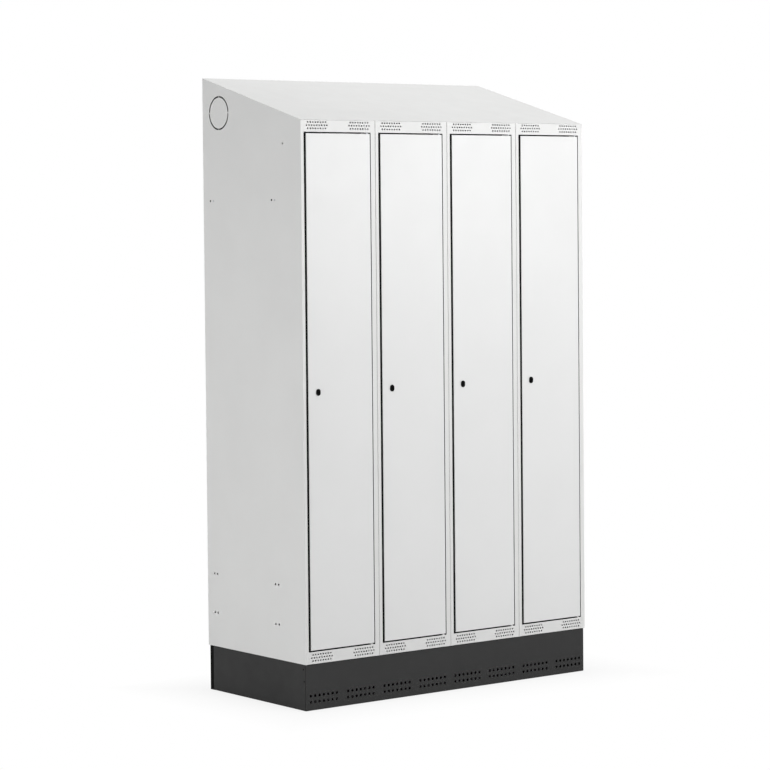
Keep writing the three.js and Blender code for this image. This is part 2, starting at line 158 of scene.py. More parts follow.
def obround(u: float, v: float, height: float, width: float, sides: int) -> list[Flat]:
    """Returns the points of an upright slot shape, spaced evenly round it.

    Args:
        u: The centre's first coordinate.
        v: The centre's second coordinate, along the height.
        height: The overall height.
        width: The overall width.
        sides: How many points.

    Returns:
        The points, in order.
    """
    radius, reach = width / 2, max(height - width, 0.0) / 2
    points = []
    for i in range(sides):
        a = 2 * math.pi * i / sides
        lift = math.copysign(reach, math.sin(a + TINY))
        points.append((u + radius * math.cos(a), v + radius * math.sin(a) + lift))
    return points


def circle(u: float, v: float, radius: float, sides: int = 24) -> list[Flat]:
    """Returns the points of a circle, in order."""
    return obround(u, v, 2 * radius, 2 * radius, sides)


def hexagon(u: float, v: float, radius: float, sides: int) -> list[Flat]:
    """Returns a hexagon with extra points along its sides, so that it lofts from a circle.

    Args:
        u: The centre's first coordinate.
        v: The centre's second coordinate.
        radius: The distance to a corner.
        sides: How many points, a multiple of six.

    Returns:
        The points, in order.
    """
    points = []
    for i in range(sides):
        a = 2 * math.pi * i / sides
        flat = radius * math.cos(math.pi / 6) / math.cos((a % (math.pi / 3)) - math.pi / 6)
        points.append((u + flat * math.cos(a), v + flat * math.sin(a)))
    return points


@dataclass
class Solid:
    """A closed surface under construction: its points and its faces."""

    points: list[Vector] = field(default_factory=list)
    faces: list[tuple[int, ...]] = field(default_factory=list)

    def loft(self, rings: Sequence[Ring], joined: bool = False) -> "Solid":
        """Skins a row of rings with as many points each.

        Args:
            rings: The rings, in order.
            joined: Whether the last ring joins the first, round a bore, or both ends are capped.

        Returns:
            This solid.
        """
        first, count = len(self.points), len(rings[0])
        for ring in rings:
            self.points.extend(ring)
        for r in range(len(rings) if joined else len(rings) - 1):
            low, high = first + r * count, first + (r + 1) % len(rings) * count
            for i in range(count):
                j = (i + 1) % count
                self.faces.append((low + i, low + j, high + j, high + i))
        if not joined:
            last = first + (len(rings) - 1) * count
            self.faces.append(tuple(range(first, first + count))[::-1])
            self.faces.append(tuple(range(last, last + count)))
        return self

    def mesh(self, name: str, crease: float = 35.0, shortest: float = 1e-7) -> bpy.types.Mesh:
        """Turns the solid into a mesh whose faces point out.

        Args:
            name: The mesh's name.
            crease: The angle in degrees over which a fold is sharp.
            shortest: The length in metres under which an edge is left out.

        Returns:
            The mesh.
        """
        mesh = bpy.data.meshes.new(name)
        mesh.from_pydata([tuple(p) for p in self.points], [], self.faces)
        tidy = bmesh.new()
        tidy.from_mesh(mesh)
        bmesh.ops.dissolve_degenerate(tidy, dist=shortest, edges=tidy.edges)
        bmesh.ops.recalc_face_normals(tidy, faces=tidy.faces)
        tidy.to_mesh(mesh)
        tidy.free()
        mesh.shade_smooth()
        mesh.set_sharp_from_angle(angle=math.radians(crease))
        return mesh


@dataclass(frozen=True)
class SectionFrame:
    """Where a section stands in the row frame."""

    index: int = 0
    pitch: float = PART.section + PART.joint
    left: float = -PART.width / 2
    front: float = (PART.lock_head - PART.depth) / 2

    def point(self, x: float, y: float, z: float) -> Vector:
        """Returns a point of the section's frame as a point of the row frame, in metres."""
        return Vector((self.left + self.index * self.pitch + x, self.front + y, z)) * MM

    def rings(self, run: Run, rows: Iterable[tuple[Line, float]]) -> list[Ring]:
        """Places outlines that lie across a run, each at its distance along it."""
        return [[self.point(*run.place(u, v, w)) for u, v in outline] for outline, w in rows]

    def turned(self, run: Run, at: Flat, line: Line, sides: int = 24) -> list[Ring]:
        """Places the rings of a turned profile, given as radius and distance along the run."""
        return self.rings(run, [(circle(*at, radius, sides), w) for radius, w in line])


class Nodes:
    """The node tree of a material or the world, with a short way to add nodes and feed them."""

    def __init__(self, owner: bpy.types.Material | bpy.types.World) -> None:
        """Starts from the owner's own shader.

        Args:
            owner: The material or the world.
        """
        owner.use_nodes = True
        self.tree = owner.node_tree
        self.shader = self.tree.nodes.get("Principled BSDF") or self.tree.nodes["Background"]

    @cached_property
    def place(self) -> Socket:
        """The surface's place in its object's own frame."""
        return self.add("TexCoord").outputs["Object"]

    def feed(self, node: bpy.types.Node, inputs: Mapping[str | int, object]) -> None:
        """Feeds a node.

        Args:
            node: The node.
            inputs: For each input its value, or the output that is linked to it.
        """
        for key, value in inputs.items():
            if isinstance(value, Socket):
                self.tree.links.new(value, node.inputs[key])
            else:
                node.inputs[key].default_value = value

    def add(
        self, kind: str, inputs: Mapping[str | int, object] | None = None, **settings: object
    ) -> bpy.types.Node:
        """Adds a node.

        Args:
            kind: The node's Blender type name, without its first part.
            inputs: What its inputs are fed with.
            **settings: Its properties by name.

        Returns:
            The new node.
        """
        node = tuned(self.tree.nodes.new(f"ShaderNode{kind}"), **settings)
        self.feed(node, inputs or {})
        return node

    def noise(self, scale: float, detail: float = 2.0, place: Socket | None = None) -> Socket:
        """Adds a noise of so many cells per metre and octaves, and returns its value."""
        inputs = {"Scale": scale, "Detail": detail, "Vector": place or self.place}
        return self.add("TexNoise", inputs).outputs["Fac"]

    def ranged(
        self, value: Socket, low: float, high: float, start: float = 0.3, end: float = 0.7
    ) -> Socket:
        """Maps a value from start and end to low and high, and returns the result."""
        inputs = {"From Min": start, "From Max": end, "To Min": low, "To Max": high, "Value": value}
        return self.add("MapRange", inputs).outputs["Result"]

    def sum(self, operation: str, first: Socket, second: Socket) -> Socket:
        """Returns the result of an arithmetic node."""
        return self.add("Math", {0: first, 1: second}, operation=operation).outputs[0]

    def mixed(self, share: Socket, first: Triple | Socket, second: Triple, blend: str = "MIX") -> Socket:
        """Mixes two colours.

        Args:
            share: How much of the second there is.
            first: The first colour, or the output that gives it.
            second: The second colour.
            blend: Blender's name for the way that they mix.

        Returns:
            The mixed colour.
        """
        start = first if isinstance(first, Socket) else (*first, 1.0)
        inputs = {"Factor": share, "A": start, "B": (*second, 1.0)}
        return self.add("Mix", inputs, data_type="RGBA", blend_type=blend).outputs["Result"]

    def raised(self, *heights: tuple[Socket, float]) -> Socket:
        """Bumps the surface by several heights.

        Args:
            *heights: Pairs of a value and the height in metres that 1 stands for.

        Returns:
            The bumped normal.
        """
        normal = None
        for value, height in heights:
            inputs = {"Strength": 1.0, "Distance": height, "Height": value}
            if normal:
                inputs["Normal"] = normal
            normal = self.add("Bump", inputs).outputs["Normal"]
        return normal


@dataclass(frozen=True)
class Finish:
    """A finish. Every density is in cells per metre, and roughness varies between two values."""

    name: str
    colour: Triple
    roughness: Flat

    def inputs(self, nodes: Nodes) -> dict[str, object]:
        """Returns what the shader's inputs are fed with."""
        raise NotImplementedError

    def material(self) -> bpy.types.Material:
        """Makes the material.

        Returns:
            The material, with its shader fed.
        """
        material = bpy.data.materials.new(self.name)
        nodes = Nodes(material)
        nodes.feed(nodes.shader, self.inputs(nodes))
        return material


@dataclass(frozen=True)
class PowderCoat(Finish):
    """A baked powder coat: a fine orange peel, a slight cloudiness, and pigment specks."""

    cloud: float
    speck: float
    peel: float
    grain: float
    gloss: float = 0.42
    fleck: Triple = (0.55, 0.55, 0.56)
    speck_range: Flat = (0.62, 0.72)
    cloud_density: float = 5.0
    speck_density: float = 1400.0
    sheen_density: float = 14.0
    peel_density: float = 330.0
    grain_density: float = 1500.0

    def inputs(self, nodes: Nodes) -> dict[str, object]:
        """Lays the finish out in nodes.

        Args:
            nodes: The material's nodes.

        Returns:
            What the shader's inputs are fed with.
        """
        dim = tuple(c * (1.0 - self.cloud) for c in self.colour)
        share = nodes.ranged(nodes.noise(self.cloud_density, detail=3.0), 0.0, 1.0)
        clouded = nodes.mixed(share, self.colour, dim)
        specks = nodes.noise(self.speck_density, detail=1.0)
        specks = nodes.ranged(specks, 0.0, self.speck, *self.speck_range)
        peel = (nodes.noise(self.peel_density), self.peel)
        grain = (nodes.noise(self.grain_density, detail=1.0), self.grain)
        return {
            "Base Color": nodes.mixed(specks, clouded, self.fleck, "MULTIPLY"),
            "Roughness": nodes.ranged(nodes.noise(self.sheen_density), *self.roughness),
            "Specular IOR Level": self.gloss,
            "Normal": nodes.raised(peel, grain),
        }


@dataclass(frozen=True)
class MouldedPlastic(Finish):
    """A black moulded plastic with a fine spark-eroded grain."""

    grain: float
    gloss: float
    pale: float = 1.7
    tint_density: float = 420.0
    sheen_density: float = 160.0
    grain_density: float = 2600.0

    def inputs(self, nodes: Nodes) -> dict[str, object]:
        """Lays the finish out in nodes.

        Args:
            nodes: The material's nodes.

        Returns:
            What the shader's inputs are fed with.
        """
        pale = tuple(c * self.pale for c in self.colour)
        return {
            "Base Color": nodes.mixed(nodes.noise(self.tint_density, detail=3.0), self.colour, pale),
            "Roughness": nodes.ranged(nodes.noise(self.sheen_density), *self.roughness),
            "Specular IOR Level": self.gloss,
            "Normal": nodes.raised((nodes.noise(self.grain_density), self.grain)),
        }


@dataclass(frozen=True)
class ZincPlate(Finish):
    """Bright zinc plating on drawn steel: fine draw lines and a faint patchiness."""

    dull: Triple
    draw: Triple
    line_height: float = 0.00002
    patch_density: float = 90.0

    def inputs(self, nodes: Nodes) -> dict[str, object]:
        """Lays the finish out in nodes.

        Args:
            nodes: The material's nodes.

        Returns:
            What the shader's inputs are fed with.
        """
        stretched = nodes.add("Mapping", {"Scale": self.draw, "Vector": nodes.place})
        lines = nodes.noise(1.0, detail=3.0, place=stretched.outputs["Vector"])
        patches = nodes.ranged(nodes.noise(self.patch_density, detail=3.0), 0.0, 1.0)
        return {
            "Base Color": nodes.mixed(patches, self.colour, self.dull),
            "Roughness": nodes.ranged(lines, *self.roughness),
            "Metallic": 1.0,
            "Normal": nodes.raised((lines, self.line_height)),
        }


COATS = {
    Slot.BODY: PowderCoat(
        "body_coat",
        (0.70, 0.702, 0.695),
        (0.36, 0.46),
        cloud=0.03,
        speck=0.10,
        peel=0.00007,
        grain=0.00002,
    ),
    Slot.DOOR: PowderCoat(
        "door_coat",
        (0.72, 0.722, 0.72),
        (0.32, 0.41),
        cloud=0.02,
        speck=0.08,
        peel=0.00006,
        grain=0.00002,
    ),
    Slot.PLINTH: PowderCoat(
        "plinth_coat",
        (0.030, 0.030, 0.030),
        (0.50, 0.62),
        cloud=0.10,
        speck=0.30,
        peel=0.00009,
        grain=0.00004,
        gloss=0.22,
    ),
    Slot.STRIP: MouldedPlastic(
        "edge_strip_black", (0.003, 0.003, 0.003), (0.55, 0.7), grain=0.00002, gloss=0.05
    ),
    Slot.LOCK: MouldedPlastic(
        "lock_black", (0.002, 0.002, 0.002), (0.34, 0.46), grain=0.00001, gloss=0.03
    ),
    Slot.ZINC: ZincPlate(
        "zinc_plating",
        (0.58, 0.60, 0.62),
        (0.24, 0.4),
        dull=(0.47, 0.49, 0.50),
        draw=(40.0, 900.0, 900.0),
    ),
}


@dataclass
class SheetSkins:
    """The two skins of a folded sheet. Points come in pairs, and open rims are closed at the end."""

    outer: list[Vector] = field(default_factory=list)
    inner: list[Vector] = field(default_factory=list)
    faces: list[tuple[int, ...]] = field(default_factory=list)
    known: dict[tuple[float, ...], int] = field(default_factory=dict)

    def pair(self, key: Iterable[float], outer: Vector, inner: Vector) -> int:
        """Adds a pair of points, or finds the one with the same key.

        Args:
            key: Numbers that tell the pair from all others.
            outer: The point on the outer skin.
            inner: The point on the inner skin.

        Returns:
            The pair's index.
        """
        name = tuple(round(k, 4) for k in key)
        if name not in self.known:
            self.known[name] = len(self.outer)
            self.outer.append(outer)
            self.inner.append(inner)
        return self.known[name]

    def panel(self, loops: Sequence[Sequence[int]], plan: Sequence[Line]) -> None:
        """Fills a flat panel with holes.

        Args:
            loops: The pairs round the panel and round each hole.
            plan: The same points, flat.
        """
        if len(loops) == 1 and len(loops[0]) == 4:
            self.faces.append(tuple(loops[0]))
            return
        pairs = [i for loop in loops for i in loop]
        flat = [[Vector((u, v, 0.0)) for u, v in loop] for loop in plan]
        for triangle in tessellate_polygon(flat):
            self.faces.append(tuple(pairs[i] for i in triangle))

    def solid(self) -> Solid:
        """Closes the sheet round its rims.

        Returns:
            The closed solid.
        """
        count = len(self.outer)
        rims = [[(min(e), max(e)) for e in zip(face, face[1:] + face[:1])] for face in self.faces]
        spread: dict[tuple[int, int], int] = {}
        for edge in (edge for rim in rims for edge in rim):
            spread[edge] = spread.get(edge, 0) + 1
        made = Solid(self.outer + self.inner)
        for face, rim in zip(self.faces, rims):
            made.faces.append(face)
            made.faces.append(tuple(i + count for i in reversed(face)))
            for a, b, edge in zip(face, face[1:] + face[:1], rim):
                if spread[edge] == 1:
                    made.faces.append((b, a, a + count, b + count))
        return made


@dataclass
class FoldedSheet:
    """A sheet folded along an outline with round bends, run out along one axis and pierced."""

    outline: list[Flat]
    spans: list[Span]
    run: Run
    thickness: float
    bend: float
    side: float = 1.0
    steps: int = 4
    holes: dict[int, list[list[Flat]]] = field(default_factory=dict)

    def _ends(self, k: int, point: Vector) -> Flat:
        """Returns how far flat k reaches along the run at an outline point."""
        low, high = self.spans[k]
        return low, high(point.x, point.y) if callable(high) else high

    def _shared(self, k: int, m: int, point: Vector) -> Flat:
        """Returns how far both flats k and m reach along the run at an outline point."""
        first, second = self._ends(k, point), self._ends(m, point)
        return max(first[0], second[0]), min(first[1], second[1])

    def _strips(self) -> list[tuple[int, int, list[tuple[Vector, Vector]]]]:
        """Works out the flats and bends along the outline.

        Returns:
            For each strip the flats before and after it, and its points with the way into the sheet.
        """
        points = [Vector(p) for p in self.outline]
        ways = [(b - a).normalized() for a, b in zip(points, points[1:])]
        into = [Vector((way.y, -way.x)) * self.side for way in ways]
        starts, ends, bends = list(points[:-1]), list(points[1:]), []
        for k in range(len(ways) - 1):
            before, after, corner = ways[k], ways[k + 1], points[k + 1]
            inwards = after.dot(into[k]) > 0
            radius = self.bend if inwards else self.bend - self.thickness
            turn = before.angle(after)
            reach = radius * math.tan(turn / 2)
            hand = math.copysign(1.0, before.cross(after))
            middle = Vector((-before.y, before.x)) * hand
            centre = corner - before * reach + middle * radius
            ends[k], starts[k + 1] = corner - before * reach, corner + after * reach
            arc = []
            for i in range(self.steps + 1):
                spoke = Matrix.Rotation(hand * turn * i / self.steps, 2) @ -middle
                arc.append((centre + spoke * radius, -spoke if inwards else spoke))
            bends.append((k, k + 1, arc))
        strips = []
        for k in range(len(ways)):
            strips.append((k, k, [(starts[k], into[k]), (ends[k], into[k])]))
            strips += bends[k : k + 1]
        return strips

    def solid(self, stand: SectionFrame) -> Solid:
        """Makes the folded sheet.

        Args:
            stand: The frame that its sizes are in.

        Returns:
            The closed solid, in the row frame.
        """
        skins = SheetSkins()

        def pair(point: Vector, into: Vector, w: float, k: int) -> int:
            """Adds the pair of points at an outline point and a distance along the run.

            Args:
                point: The outline point.
                into: The way into the sheet.
                w: The distance along the run.
                k: The flat that it ends with.

            Returns:
                The pair's index.
            """
            deep = point + into * self.thickness
            top = abs(w - self._ends(k, point)[1]) < TINY
            w_deep = self._ends(k, deep)[1] if top else w
            outer = stand.point(*self.run.place(*point, w))
            inner = stand.point(*self.run.place(*deep, w_deep))
            return skins.pair((*point, w), outer, inner)

        strips = self._strips()
        for n, (k, m, line) in enumerate(strips):
            for (a, into_a), (b, into_b) in zip(line, line[1:]):
                edges = []
                for point, into, beside in ((a, into_a, n - 1), (b, into_b, n + 1)):
                    low, high = self._shared(k, m, point)
                    stops = {low, high}
                    if k == m and 0 <= beside < len(strips):
                        stops |= set(self._shared(*strips[beside][:2], point))
                    kept = [w for w in sorted(stops) if low - TINY <= w <= high + TINY]
                    edges.append([(point, into, w) for w in kept])
                start = Vector(self.outline[k])
                way = (Vector(self.outline[k + 1]) - start).normalized()
                loop = edges[0] + edges[1][::-1]
                loops = [[pair(p, into, w, k) for p, into, w in loop]]
                plan = [[((p - start).dot(way), w) for p, into, w in loop]]
                for hole in self.holes.get(k, []) if k == m else []:
                    loops.append([pair(start + way * s, into_a, w, k) for s, w in hole])
                    plan.append(hole)
                skins.panel(loops, plan)
        return skins.solid()


@dataclass
class Tray:
    """A sheet pressed into a tray: a flat face, edges folded back round it, and lips returned behind."""

    low: Flat
    high: Flat
    depth: float
    lip: float
    place: Callable[[float, float, float], Vector]
    thickness: float
    bend: float
    steps: int = 4
    holes: list[list[Flat]] = field(default_factory=list)

    def solid(self) -> Solid:
        """Makes the tray.

        Returns:
            The closed solid, in the row frame.
        """
        r, d, t = self.bend, self.depth, self.thickness
        turns = [math.pi / 2 * i / self.steps for i in range(self.steps + 1)]
        quarter = [(math.sin(a), math.cos(a)) for a in turns]
        line = [(r - r * s, r - r * c, s, c) for s, c in quarter]
        line += [(r - r * c, d - r + r * s, c, -s) for s, c in quarter]
        line.append((self.lip, d, 0.0, -1.0))
        skins = SheetSkins()

        def pair(outer: Triple, inner: Triple) -> int:
            """Adds a pair of points of the tray."""
            return skins.pair(outer, self.place(*outer), self.place(*inner))

        def ring(inset: float, deep: float, side: float, down: float) -> tuple[list[int], list[Flat]]:
            """Adds a rectangle of pairs.

            Args:
                inset: How far it lies inside the tray's edge.
                deep: Its depth behind the face.
                side: How much of the thickness the inner skin lies further in.
                down: How much of the thickness it lies further back.

            Returns:
                The four pairs, and the same corners flat.
            """
            flats, pairs = [], []
            for end_a, end_b in ((0, 0), (1, 0), (1, 1), (0, 1)):
                spots = []
                for more, drop in ((0.0, 0.0), (side * t, down * t)):
                    a = self.high[0] - inset - more if end_a else self.low[0] + inset + more
                    b = self.high[1] - inset - more if end_b else self.low[1] + inset + more
                    spots.append((a, b, deep + drop))
                pairs.append(pair(*spots))
                flats.append(spots[0][:2])
            return pairs, flats

        rings = [ring(*spot) for spot in line]
        loops = [rings[0][0]] + [[pair((a, b, 0.0), (a, b, t)) for a, b in hole] for hole in self.holes]
        skins.panel(loops, [rings[0][1], *self.holes])
        for (near, _), (far, _) in zip(rings, rings[1:]):
            for i in range(4):
                j = (i + 1) % 4
                skins.faces.append((near[j], near[i], far[i], far[j]))
        return skins.solid()


@dataclass
class Workshop:
    """Coats pieces, hangs them on their bodies and reports them."""

    coats: dict[Slot, bpy.types.Material]
    count: int = 0
    face_weight: int = 80
    point_gap: float = 0.001
    flat_angle: float = 0.5
    sharp_angle: float = 40.0
    edge_segments: int = 2

    def add(self, solid: Solid, name: str, slot: Slot, node: str = "", body: str = CARCASS) -> None:
        """Puts a new piece on the locker.

        Args:
            solid: The piece's shape, in the row frame.
            name: The piece's name.
            slot: Its finish.
            node: The plain node that it replaces, if any.
            body: The body that it rides on.
        """
        piece = stood(name, solid.mesh(name))
        piece.data.materials.append(self.coats[slot])
        even = piece.modifiers.new("even_normals", "WEIGHTED_NORMAL")
        tuned(even, keep_sharp=True, weight=self.face_weight)
        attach(piece, body)
        if node:
            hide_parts(node)
        self.count += 1
        LOG.info("%s: %d faces, %s, rides on %s", name, len(piece.data.polygons), slot.value, body)

    def keep(self, node: str, slot: Slot, edge: float) -> None:
        """Coats a node of the part and breaks its sharp edges.

        Args:
            node: The node's name.
            slot: Its finish.
            edge: The edge radius.
        """
        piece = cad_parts[node]
        piece.data.materials.clear()
        piece.data.materials.append(self.coats[slot])
        tuned(piece.modifiers.new("joined_points", "WELD"), merge_threshold=self.point_gap * MM)
        flatter = piece.modifiers.new("joined_flats", "DECIMATE")
        tuned(flatter, decimate_type="DISSOLVE", angle_limit=math.radians(self.flat_angle))
        broken = piece.modifiers.new("broken_edges", "BEVEL")
        tuned(broken, width=edge * MM, segments=self.edge_segments, harden_normals=True)
        tuned(broken, limit_method="ANGLE", angle_limit=math.radians(self.sharp_angle))
        self.count += 1
        LOG.info("%s: kept, %s", node, slot.value)


@dataclass
class Assembly:
    """A sub-assembly: where it stands, the shop that hangs its pieces, and the sizes that all share."""

    place: SectionFrame
    shop: Workshop
    width: float = PART.section
    depth: float = PART.depth
    floor: float = PART.plinth
    front_height: float = PART.front_height
    rail_height: float = PART.rail_height
    lock_stile: float = 13.0
    hinge_stile: float = 18.5
    sheet: float = PART.sheet
    fit: float = PART.fit
    gap: float = 3.0
    pivot: Flat = (269.8, 6.0)
    lock: Flat = (60.0, 1020.0)

    @property
    def sill_edge(self) -> float:
        """The height of the sill's edge at the door."""
        return self.floor + self.rail_height

    @property
    def head_edge(self) -> float:
        """The height of the head's edge at the door."""
        return self.front_height - self.rail_height

    @property
    def tag(self) -> str:
        """How the names of the section's pieces, nodes and moving bodies end."""
        return f"_{self.place.index + 1}"

    def put(self, solid: Solid, name: str, slot: Slot, node: str = "", body: str = CARCASS) -> None:
        """Hangs one of the section's pieces. Its name, node and moving body come without the tag."""
        rides = body if body == CARCASS else body + self.tag
        self.shop.add(solid, name + self.tag, slot, node and node + self.tag, rides)

    def upright(self, outline: Line, low: float, high: float) -> Solid:
        """Runs an outline up from one height to another."""
        return Solid().loft(self.place.rings(Run.UP, [(outline, low), (outline, high)]))


@dataclass
class Section(Assembly):
    """One section of the body: its folded walls and stiles, rails, the black strips that paint shade
    into the door gaps and the joint, floor and shelf.
    """

    first: bool = False
    last: bool = False
    slope: float = PART.roof_rise / PART.depth
    lock_rebate: float = 17.0
    hinge_rebate: float = 21.988
    lock_lip: float = 14.0
    hinge_lip: float = 12.0
    rail_stop: float = 12.0
    rail_back: float = 16.0
    stop_span: Flat = (27.15, 253.812)
    body_bend: float = 1.6
    rail_bend: float = 1.2
    pin_hole: float = 3.1
    vent: float = 2.9
    vent_sides: int = 20
    vent_pitch: float = 10.1
    vent_row: float = 10.0
    vent_columns: int = 9
    vent_spread: float = 85.0
    top_vent_lift: float = 2.0
    fixing: float = 3.8
    fixing_sides: int = 16
    fixing_pitch: float = 17.5
    fixing_places: Flat = (152.5, 500.0)
    fixing_levels: tuple[float, ...] = (1636.0, 264.0, 393.5)
    single_hole: Flat = (97.0, 1816.5)
    single_radius: float = 3.2
    knockout: Triple = (454.8, 1926.0, 53.6)
    knockout_slit: float = 5.0
    knockout_bridges: Flat = (5.0, 3.0)
    knockout_steps: int = 14
    shelf_top: float = 1647.0
    shelf_setback: float = 40.0
    shelf_flange: float = 22.0
    shelf_return: float = 10.0
    # Sizes of the black strips in the head and sill gaps, which paint the shade in those gaps.
    seal_wall: float = 0.4
    seal_bend: float = 1.4
    seal_nose: float = 0.8
    seal_lap: float = 0.05
    tail_front: float = 1.6
    head_bay: float = 3.5
    sill_bay: float = 5.0
    # The thickness of the black lining beside the hinge edge, painted shade in the hinge gap.
    shade_lining_thickness: float = 0.25
    weld_gap: float = 0.04
    weld_depth: float = 0.02
    weld_ends: Flat = (1.0, 0.2)
    weld_steps: int = 5
    # The dark tape in the joints between sections: it shuts the joint, and its colour is painted shade
    # in the seam.
    tape_gap: float = 0.04
    tape_wall: float = 0.37
    tape_span: Flat = (0.95, 60.0)
    tape_ends: Flat = (0.5, 0.2)
    rivet: Line = ((3.7, 1.2), (3.7, 0.4), (3.3, 0.12), (2.1, 0.02), (1.0, 0.02), (0.9, 0.6))
    # Profile of the black plug in the rear hole at the shelf, a dark piece that paints the shade of an
    # open hole.
    plug: Line = ((3.7, 1.6), (3.7, 0.3), (3.45, 0.06), (2.4, 0.06), (2.1, 0.5), (1.2, 0.9))

    def under_roof(self, y: float) -> float:
        """Returns the height of the roof's underside at a depth."""
        stretch = math.hypot(1.0, self.slope)
        return self.front_height + self.slope * y - (self.sheet + self.fit) * stretch

    def edges(self, way: float) -> Flat:
        """Returns the heights of a rail's edge at the door and its far edge, the head's for way 1."""
        return (self.head_edge, self.under_roof(0.0)) if way > 0 else (self.sill_edge, self.floor)

    def _wall_holes(self, mirrored: bool) -> list[list[Flat]]:
        """Lists the holes of an outer wall.

        Args:
            mirrored: Whether the wall's outline runs from back to front.

        Returns:
            The holes' points, as distance along the wall and height.
        """
        holes = []
        for z in self.fixing_levels:
            for y in self.fixing_places:
                for end in (-1, 1):
                    at = (y + end * self.fixing_pitch / 2, z)
                    holes.append(circle(*at, self.fixing, self.fixing_sides))
        holes.append(circle(*self.single_hole, self.single_radius, self.fixing_sides))
        y0, z0, radius = self.knockout
        halves = [bridge / 2 / radius for bridge in self.knockout_bridges]
        count = self.knockout_steps
        for quarter in range(4):
            start = quarter * math.pi / 2 + halves[quarter % 2]
            end = (quarter + 1) * math.pi / 2 - halves[(quarter + 1) % 2]
            turns = [start + (end - start) * i / count for i in range(count + 1)]
            slit = []
            for way, arc in ((1, turns), (-1, turns[::-1])):
                reach = radius + way * self.knockout_slit / 2
                slit += [(y0 + reach * math.cos(a), z0 + reach * math.sin(a)) for a in arc]
            holes.append(slit)
        return [[(self.depth - y if mirrored else y, z) for y, z in hole] for hole in holes]

    def body(self) -> Solid:
        """Makes the side walls, back and stiles, folded from one sheet.

        Returns:
            The closed solid, in the row frame.
        """
        right = self.width - self.hinge_stile
        outline = [
            (self.lock_stile + self.lock_lip, self.lock_rebate),
            (self.lock_stile, self.lock_rebate),
            (self.lock_stile, 0.0),
            (0.0, 0.0),
            (0.0, self.depth),
            (self.width, self.depth),
            (self.width, 0.0),
            (right, 0.0),
            (right, self.hinge_rebate),
            (right - self.hinge_lip, self.hinge_rebate),
        ]
        holes = {}
        if self.first:
            holes[3] = self._wall_holes(False)
        if self.last:
            holes[5] = self._wall_holes(True)
        spans = [(self.floor, lambda x, y: self.under_roof(y))] * (len(outline) - 1)
        made = FoldedSheet(outline, spans, Run.UP, self.sheet, self.body_bend, holes=holes)
        return made.solid(self.place)

    def rail(self, way: float) -> Solid:
        """Makes a rail of the front frame.

        Args:
            way: 1 for the head, -1 for the sill.

        Returns:
            The folded rail.
        """
        inner, outer = self.edges(way)
        outline = [
            (self.rail_back, outer),
            (0.0, outer),
            (0.0, inner),
            (self.lock_rebate, inner),
            (self.lock_rebate, inner - way * self.rail_stop),
        ]
        wide = (self.lock_stile + self.fit, self.width - self.hinge_stile - self.fit)
        middle = inner + way * self.rail_height / 2 + (self.top_vent_lift if way > 0 else 0.0)
        vents = []
        for group in (-1, 1):
            centre = self.width / 2 + group * self.vent_spread
            for row in (-1, 0, 1):
                count = self.vent_columns - abs(row)
                drop = abs(outer - middle - row * self.vent_row)
                for i in range(count):
                    x = centre + (i - (count - 1) / 2) * self.vent_pitch
                    vents.append(circle(drop, x, self.vent, self.vent_sides))
        holes = {1: vents, 3: [circle(self.pivot[1], self.pivot[0], self.pin_hole)]}
        spans = [wide] * 4 + [self.stop_span]
        made = FoldedSheet(outline, spans, Run.ACROSS, self.sheet, self.rail_bend, -way, holes=holes)
        return made.solid(self.place)

    def shade_seal(self, way: float, tail: bool) -> Solid:
        """Makes a black strip in a rail's gap, whose colour is painted shade: a nose over the rail's
        edge, a foot on its flange and a leg down its stop.

        Args:
            way: 1 for the head's, -1 for the sill's.
            tail: Whether it is the short end past the hinge pin, or the long run up to the pin.

        Returns:
            The folded strip.
        """
        inner = self.edges(way)[0]
        seat, back = inner - way * self.fit, self.lock_rebate - self.fit
        bay = self.head_bay if way > 0 else self.sill_bay
        end = self.width - self.hinge_stile - 2 * self.fit - 2 * self.shade_lining_thickness
        outline = [
            (-self.seal_lap, seat + way * self.seal_nose),
            (-self.seal_lap, seat),
            (back, seat),
            (back, inner - way * (self.rail_stop - self.fit)),
        ]
        if tail:
            outline = [(self.tail_front, seat), (back, seat)] if way > 0 else outline[:3]
            spans = [(self.pivot[0] + bay, end)] * (len(outline) - 1)
        else:
            foot = (self.lock_stile + self.fit, self.pivot[0] - bay)
            nose = (foot[0], end) if way > 0 else foot
            spans = [nose, foot, (self.stop_span[0] + self.fit, self.stop_span[1] - self.fit)]
        made = FoldedSheet(outline, spans, Run.ACROSS, self.seal_wall, self.seal_bend, way)
        return made.solid(self.place)

    def joint_shade_tape(self) -> Solid:
        """Makes the dark tape in the joint with the next section, from behind the folds. It shuts the
        joint against light, and its dark colour is painted shade in the seam.

        Returns:
            The closed solid, in the row frame.
        """
        low, high = self.tape_ends
        outline = [(self.width + self.tape_gap, y) for y in self.tape_span]
        spans = [(self.floor + low, lambda x, y: self.under_roof(y) - high)]
        return FoldedSheet(outline, spans, Run.UP, self.tape_wall, self.body_bend).solid(self.place)

    def weld(self, way: float, edge: float, hand: float) -> Solid:
        """Makes the ground weld that fills the hollow between a stile's fold and a rail's end.

        Args:
            way: 1 for the head, -1 for the sill.
            edge: Where the stile ends.
            hand: 1 where the rail lies to the right of the stile, or -1.

        Returns:
            The weld, flush with both faces.
        """
        radius, reach = self.body_bend, self.body_bend + self.weld_gap
        turns = [math.pi / 2 * i / self.weld_steps for i in range(self.weld_steps + 1)]
        arc = [(math.sin(a) * reach, radius - math.cos(a) * reach) for a in turns]
        tip = radius + self.fit / 2
        outline = [(u, max(v, self.weld_depth)) for u, v in arc if u < tip]
        outline += [(tip, radius), (tip, self.weld_depth)]
        placed = [(edge + hand * (u - radius), v) for u, v in outline]
        low, high = sorted(self.edges(way))
        return self.upright(placed, low + self.weld_ends[0], high - self.weld_ends[1])

